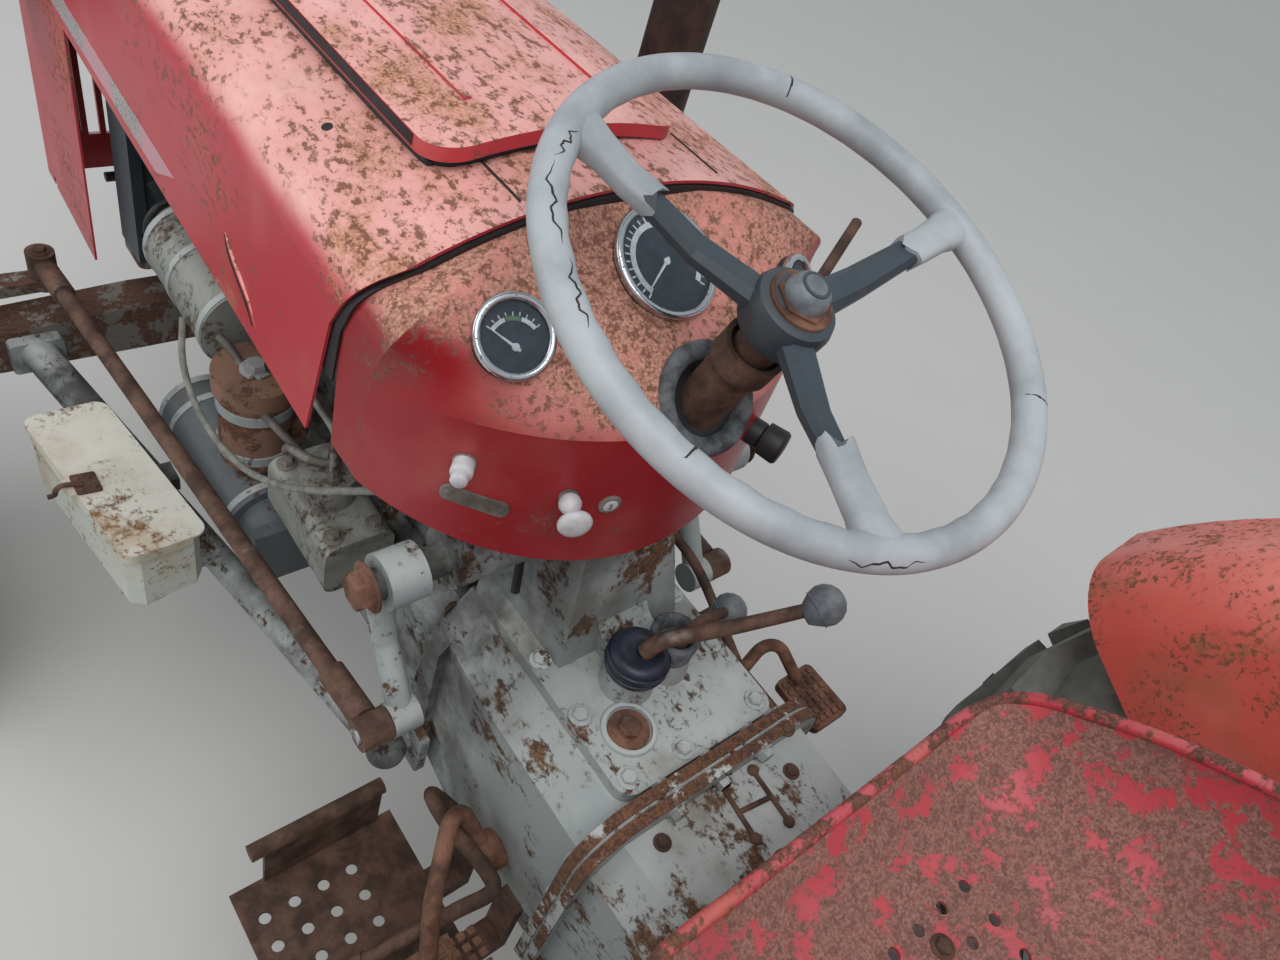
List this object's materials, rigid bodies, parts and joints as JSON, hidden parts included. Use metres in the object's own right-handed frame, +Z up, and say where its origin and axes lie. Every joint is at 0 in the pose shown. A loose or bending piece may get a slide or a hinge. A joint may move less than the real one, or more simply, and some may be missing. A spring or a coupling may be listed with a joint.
{
  "type": "farm tractor",
  "caption": "Small wheeled farm tractor with open driver's seat, tipping bonnet, upright exhaust, steered front wheels and rear lift links.",
  "frame": {"origin": "centre of the bounding box's underside, on the ground", "axes": "+X to the tractor's left, +Y to its rear, +Z up; the front faces -Y"},
  "size_m": [1.504, 2.9969, 1.79],
  "materials": {
    "tyre": "dusty grey-green rubber",
    "wheel_paint": "worn pale grey paint with rust at the edges",
    "grey_paint": "worn blue-grey paint with rust",
    "red_paint": "faded red paint, rusted on the upper faces",
    "rubber": "weathered black rubber",
    "plastic": "cracked light grey grip material",
    "gauge_face": "dark dials behind clear covers in bright bezels",
    "rusty_steel": "brown rust over bare steel",
    "bare_steel": "bare steel",
    "dark_paint": "dark paint, worn"
  },
  "bodies": {
    "frame": {"front_axle": "grey_paint", "front_support": "grey_paint", "radius_rods": "grey_paint", "steering_column": "rusty_steel", "hand_throttle": "rusty_steel", "steering_box": "grey_paint", "gear_levers": "plastic", "engine_block": "grey_paint", "radiator": "dark_paint", "radiator_hose": "rubber", "exhaust": "rusty_steel", "starter_motor": "grey_paint", "oil_filter": "rusty_steel", "injection_pump": "grey_paint", "dynamo": "grey_paint", "fuel_tank": "red_paint", "engine_cable": "dark_paint", "gearbox_case": "grey_paint", "rear_housing": "grey_paint", "lift_cover": "grey_paint", "drawbar": "rusty_steel", "pto_shaft": "bare_steel", "dash_shell": "red_paint", "gauges": "gauge_face", "dash_collar": "rubber", "rubber_strip": "rubber", "dash_controls": "plastic", "footplates": "grey_paint", "pedals": "rusty_steel", "seat_pan": "red_paint", "seat_bracket": "grey_paint", "mudguards": "red_paint", "toolbox": "grey_paint"},
    "bonnet": {"bonnet": "red_paint", "grille": "red_paint", "headlamps": "dark_paint"},
    "bonnet_lid": {"bonnet_lid": "red_paint"},
    "toolbox_lid": {"toolbox_lid": "grey_paint"},
    "steering_wheel": {"steering_rim": "plastic", "steering_spokes": "dark_paint"},
    "fan": {"fan": "dark_paint"},
    "lower_links": {"lower_links": "rusty_steel"},
    "lift_arms": {"lift_arms": "rusty_steel"},
    "lift_rods": {"lift_rods": "rusty_steel"},
    "knuckle_left": {"knuckle_left": "grey_paint"},
    "front_wheel_left": {"front_wheel_left": "wheel_paint", "front_tyre_left": "tyre"},
    "rear_wheel_left": {"rear_wheel_left": "wheel_paint", "rear_tyre_left": "tyre"},
    "drop_arm_left": {"drop_arm_left": "rusty_steel"},
    "drag_link_left": {"drag_link_left": "rusty_steel"},
    "knuckle_right": {"knuckle_right": "grey_paint"},
    "front_wheel_right": {"front_wheel_right": "wheel_paint", "front_tyre_right": "tyre"},
    "rear_wheel_right": {"rear_wheel_right": "wheel_paint", "rear_tyre_right": "tyre"},
    "drop_arm_right": {"drop_arm_right": "rusty_steel"},
    "drag_link_right": {"drag_link_right": "rusty_steel"}
  },
  "joints": [
    {"name": "steer_left", "type": "hinge", "parent": "frame", "child": "knuckle_left", "pos_m": [0.486, -1.1315, 0.5], "axis": [0, 0, 1], "range_deg": [-32, 32]},
    {"name": "front_wheel_left_spin", "type": "hinge", "parent": "knuckle_left", "child": "front_wheel_left", "pos_m": [0.61, -1.1315, 0.367], "axis": [1, 0, 0], "continuous": true},
    {"name": "rear_wheel_left_spin", "type": "hinge", "parent": "frame", "child": "rear_wheel_left", "pos_m": [0.61, 0.6985, 0.617], "axis": [1, 0, 0], "continuous": true},
    {"name": "drop_arm_left_swing", "type": "hinge", "parent": "frame", "child": "drop_arm_left", "pos_m": [0.216, -0.2815, 0.915], "axis": [1, 0, 0], "range_deg": [-30, 30]},
    {"name": "drag_link_left_pivot", "type": "hinge", "parent": "drop_arm_left", "child": "drag_link_left", "pos_m": [0.2503, -0.2355, 0.72], "axis": [1, 0, 0], "range_deg": [-30, 30]},
    {"name": "steer_right", "type": "hinge", "parent": "frame", "child": "knuckle_right", "pos_m": [-0.486, -1.1315, 0.5], "axis": [0, 0, 1], "range_deg": [-32, 32]},
    {"name": "front_wheel_right_spin", "type": "hinge", "parent": "knuckle_right", "child": "front_wheel_right", "pos_m": [-0.61, -1.1315, 0.367], "axis": [1, 0, 0], "continuous": true},
    {"name": "rear_wheel_right_spin", "type": "hinge", "parent": "frame", "child": "rear_wheel_right", "pos_m": [-0.61, 0.6985, 0.617], "axis": [1, 0, 0], "continuous": true},
    {"name": "drop_arm_right_swing", "type": "hinge", "parent": "frame", "child": "drop_arm_right", "pos_m": [-0.216, -0.2815, 0.915], "axis": [1, 0, 0], "range_deg": [-30, 30]},
    {"name": "drag_link_right_pivot", "type": "hinge", "parent": "drop_arm_right", "child": "drag_link_right", "pos_m": [-0.2503, -0.2355, 0.72], "axis": [1, 0, 0], "range_deg": [-30, 30]},
    {"name": "steering_wheel_turn", "type": "hinge", "parent": "frame", "child": "steering_wheel", "pos_m": [0, -0.1415, 1.31], "axis": [0, 0.3007, 0.9537], "range_deg": [-450, 450]},
    {"name": "fan_spin", "type": "hinge", "parent": "frame", "child": "fan", "pos_m": [0, -1.0175, 0.9], "axis": [0, 1, 0], "continuous": true},
    {"name": "bonnet_tip", "type": "hinge", "parent": "frame", "child": "bonnet", "pos_m": [0, -1.3795, 0.652], "axis": [1, 0, 0], "range_deg": [0, 60]},
    {"name": "bonnet_lid_open", "type": "hinge", "parent": "bonnet", "child": "bonnet_lid", "pos_m": [-0.106, -0.7185, 1.27135], "axis": [0, -0.9999, -0.0127], "range_deg": [0, 100]},
    {"name": "toolbox_lid_open", "type": "hinge", "parent": "frame", "child": "toolbox_lid", "pos_m": [0.30249, -0.71746, 0.67], "axis": [0.1392, -0.9903, 0], "range_deg": [0, 75]},
    {"name": "lower_links_lift", "type": "hinge", "parent": "frame", "child": "lower_links", "pos_m": [0, 0.7185, 0.47], "axis": [1, 0, 0], "range_deg": [-13, 32]},
    {"name": "lift_arms_turn", "type": "hinge", "parent": "frame", "child": "lift_arms", "pos_m": [0, 0.7605, 0.85], "axis": [1, 0, 0], "range_deg": [-18, 44]},
    {"name": "lift_rods_pivot", "type": "hinge", "parent": "lift_arms", "child": "lift_rods", "pos_m": [0, 1.00504, 0.79802], "axis": [1, 0, 0], "range_deg": [-44, 18]}
  ],
  "couplings": [
    {"joint": "steer_right", "follows": "steer_left", "ratio": 1},
    {"joint": "drop_arm_left_swing", "follows": "steer_left", "ratio": -0.8785},
    {"joint": "drop_arm_right_swing", "follows": "steer_left", "ratio": 0.8785},
    {"joint": "drag_link_left_pivot", "follows": "steer_left", "ratio": 0.8346},
    {"joint": "drag_link_right_pivot", "follows": "steer_left", "ratio": -0.8346},
    {"joint": "steering_wheel_turn", "follows": "steer_left", "ratio": 12.8},
    {"joint": "lift_arms_turn", "follows": "lower_links_lift", "ratio": 1.33},
    {"joint": "lift_rods_pivot", "follows": "lower_links_lift", "ratio": -1.33}
  ]
}
